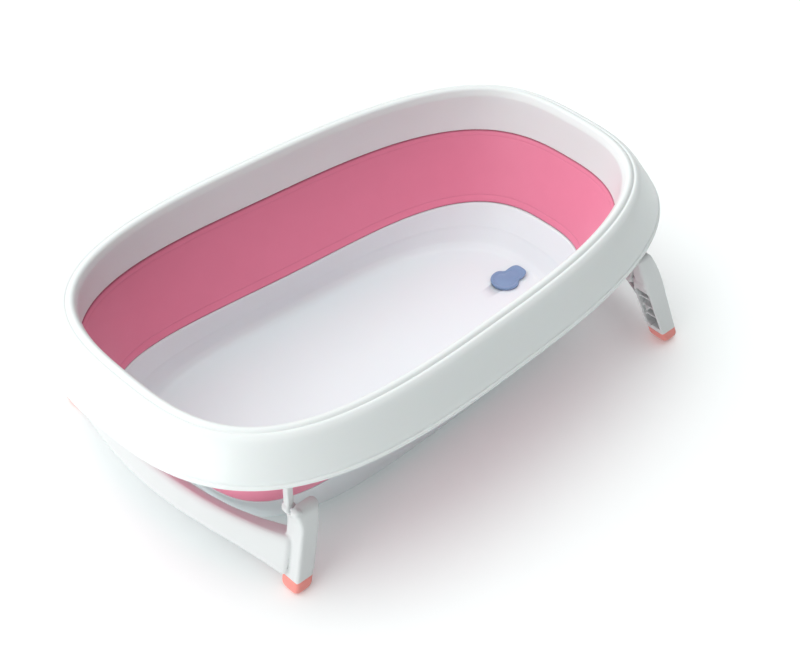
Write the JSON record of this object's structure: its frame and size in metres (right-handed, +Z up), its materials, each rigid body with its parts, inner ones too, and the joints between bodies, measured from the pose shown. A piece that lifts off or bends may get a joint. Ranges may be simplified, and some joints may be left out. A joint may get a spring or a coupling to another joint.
{
  "type": "baby bathtub",
  "caption": "Collapsible baby bathtub with a rigid rim, a soft folding wall, a rigid base tray with a drain plug, and folding leg frames on rubber feet.",
  "frame": {"origin": "on the floor under the middle of the tub, which stands open on its feet", "axes": "+X along the tub towards the drain end, +Y across it, +Z up"},
  "size_m": [0.8207, 0.5216, 0.227],
  "materials": {
    "rim_white": "satin moulded polypropylene",
    "base_white": "satin moulded polypropylene, cool white",
    "soft_pink": "matt soft-touch thermoplastic rubber",
    "leg_white": "fine matt moulded plastic",
    "foot_coral": "matt rubber",
    "plug_blue": "smooth soft rubber",
    "steel": "plain turned steel"
  },
  "bodies": {
    "collar": {"rim": "rim_white", "soft_wall": "soft_pink", "bracket_screws": "steel", "hinge_bracket_back_end_near": "leg_white", "hinge_bracket_back_end_far": "leg_white", "hinge_bracket_drain_end_near": "leg_white", "hinge_bracket_drain_end_far": "leg_white", "hinge_pin_back_end_near": "steel", "hinge_pin_back_end_far": "steel", "hinge_pin_drain_end_near": "steel", "hinge_pin_drain_end_far": "steel"},
    "base": {"base_tray": "base_white", "drain_seal": "plug_blue"},
    "plug": {"drain_plug": "plug_blue"},
    "back_end_legs": {"leg_frame_back_end": "leg_white", "foot_back_end_near": "foot_coral", "foot_back_end_far": "foot_coral"},
    "drain_end_legs": {"leg_frame_drain_end": "leg_white", "foot_drain_end_near": "foot_coral", "foot_drain_end_far": "foot_coral"}
  },
  "joints": [
    {"name": "base_rise", "type": "slide", "parent": "collar", "child": "base", "axis": [0, 0, 1], "range_m": [0, 0.12], "deforming": ["soft_wall"]},
    {"name": "back_end_fold", "type": "hinge", "parent": "collar", "child": "back_end_legs", "pos_m": [-0.297, 0, 0.11], "axis": [0, -1, 0], "range_deg": [0, 100]},
    {"name": "drain_end_fold", "type": "hinge", "parent": "collar", "child": "drain_end_legs", "pos_m": [0.286, 0, 0.11], "axis": [0, 1, 0], "range_deg": [0, 100]},
    {"name": "plug_lift", "type": "slide", "parent": "base", "child": "plug", "axis": [0, 0, 1], "range_m": [0, 0.06]}
  ],
  "couplings": [
    {"joint": "back_end_fold", "follows": "base_rise", "rad_per_m": 14.54},
    {"joint": "drain_end_fold", "follows": "base_rise", "rad_per_m": 14.54}
  ]
}
